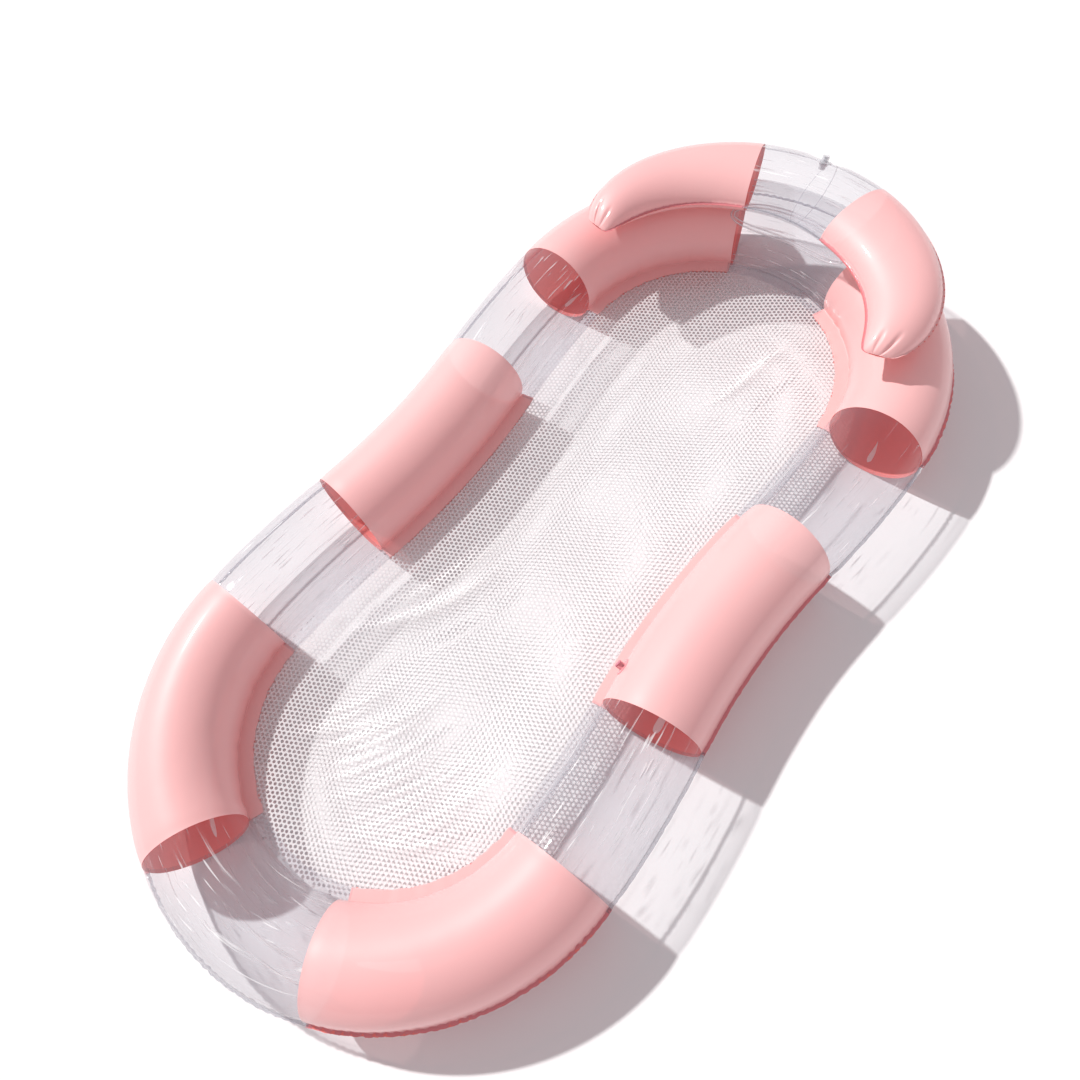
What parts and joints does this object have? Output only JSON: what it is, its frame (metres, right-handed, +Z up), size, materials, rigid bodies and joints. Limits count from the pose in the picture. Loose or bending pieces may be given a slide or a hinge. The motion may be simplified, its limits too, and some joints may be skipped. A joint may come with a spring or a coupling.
{
  "type": "inflatable pool float",
  "caption": "Long inflatable ring of pink and clear film panels with a net floor, a curved head pillow that rocks on its weld, and two push-in air valves with flip caps.",
  "frame": {"origin": "middle of the underside, on the ground plane the ring rests on", "axes": "+X along the length toward the pillow, +Y to the left of a person lying with the head on the pillow, +Z up"},
  "size_m": [1.828, 0.908, 0.2697],
  "materials": {
    "pink_film": "glossy pink PVC film",
    "clear_film": "glossy clear PVC film",
    "net": "white net",
    "valve_plastic": "soft white PVC"
  },
  "bodies": {
    "ring": {"head_clear_upper": "clear_film", "head_clear_lower": "clear_film", "head_left_pink_upper": "pink_film", "head_left_pink_lower": "pink_film", "head_right_pink_upper": "pink_film", "head_right_pink_lower": "pink_film", "front_left_clear_upper": "clear_film", "front_left_clear_lower": "clear_film", "front_right_clear_upper": "clear_film", "front_right_clear_lower": "clear_film", "left_side_pink_upper": "pink_film", "left_side_pink_lower": "pink_film", "right_side_pink_upper": "pink_film", "right_side_pink_lower": "pink_film", "rear_left_clear_upper": "clear_film", "rear_left_clear_lower": "clear_film", "rear_right_clear_upper": "clear_film", "rear_right_clear_lower": "clear_film", "foot_left_pink_upper": "pink_film", "foot_left_pink_lower": "pink_film", "foot_right_pink_upper": "pink_film", "foot_right_pink_lower": "pink_film", "foot_clear_upper": "clear_film", "foot_clear_lower": "clear_film", "net_floor": "net", "pillow_weld_patch": "clear_film", "ring_valve_base": "valve_plastic"},
    "pillow": {"pillow_clear_upper": "clear_film", "pillow_clear_lower": "clear_film", "pillow_left_pink_upper": "pink_film", "pillow_left_pink_lower": "pink_film", "pillow_right_pink_upper": "pink_film", "pillow_right_pink_lower": "pink_film", "pillow_valve_base": "valve_plastic"},
    "pillow_valve_cap": {"pillow_valve_cap": "clear_film"},
    "pillow_valve_flap": {"pillow_valve_flap": "valve_plastic"},
    "pillow_valve_stem": {"pillow_valve_stem": "valve_plastic"},
    "ring_valve_cap": {"ring_valve_cap": "pink_film"},
    "ring_valve_flap": {"ring_valve_flap": "valve_plastic"},
    "ring_valve_stem": {"ring_valve_stem": "valve_plastic"}
  },
  "joints": [
    {"name": "pillow_tilt", "type": "hinge", "parent": "ring", "child": "pillow", "pos_m": [0.83, 0, 0.1779], "axis": [0, 1, 0], "range_deg": [0, 12]},
    {"name": "ring_valve_push_in", "type": "slide", "parent": "ring", "child": "ring_valve_stem", "axis": [-0.0961, 0.9348, 0.342], "range_m": [-0.006, 0]},
    {"name": "ring_valve_cap_flip", "type": "hinge", "parent": "ring_valve_stem", "child": "ring_valve_cap", "pos_m": [-0.15471, -0.24005, 0.11136], "axis": [-0.9948, -0.1023, 0], "range_deg": [0, 150]},
    {"name": "ring_valve_flap_open", "type": "hinge", "parent": "ring_valve_stem", "child": "ring_valve_flap", "pos_m": [-0.15241, -0.26236, 0.10777], "axis": [0.9948, 0.1023, 0], "range_deg": [0, 60], "stiffness_Nm_per_rad": 0.0003},
    {"name": "pillow_valve_push_in", "type": "slide", "parent": "pillow", "child": "pillow_valve_stem", "axis": [0.5, 0, 0.866], "range_m": [-0.006, 0]},
    {"name": "pillow_valve_cap_flip", "type": "hinge", "parent": "pillow_valve_stem", "child": "pillow_valve_cap", "pos_m": [0.86047, 0, 0.25654], "axis": [0, 1, 0], "range_deg": [0, 150]},
    {"name": "pillow_valve_flap_open", "type": "hinge", "parent": "pillow_valve_stem", "child": "pillow_valve_flap", "pos_m": [0.8456, 0, 0.23938], "axis": [0, -1, 0], "range_deg": [0, 60], "stiffness_Nm_per_rad": 0.0003}
  ]
}
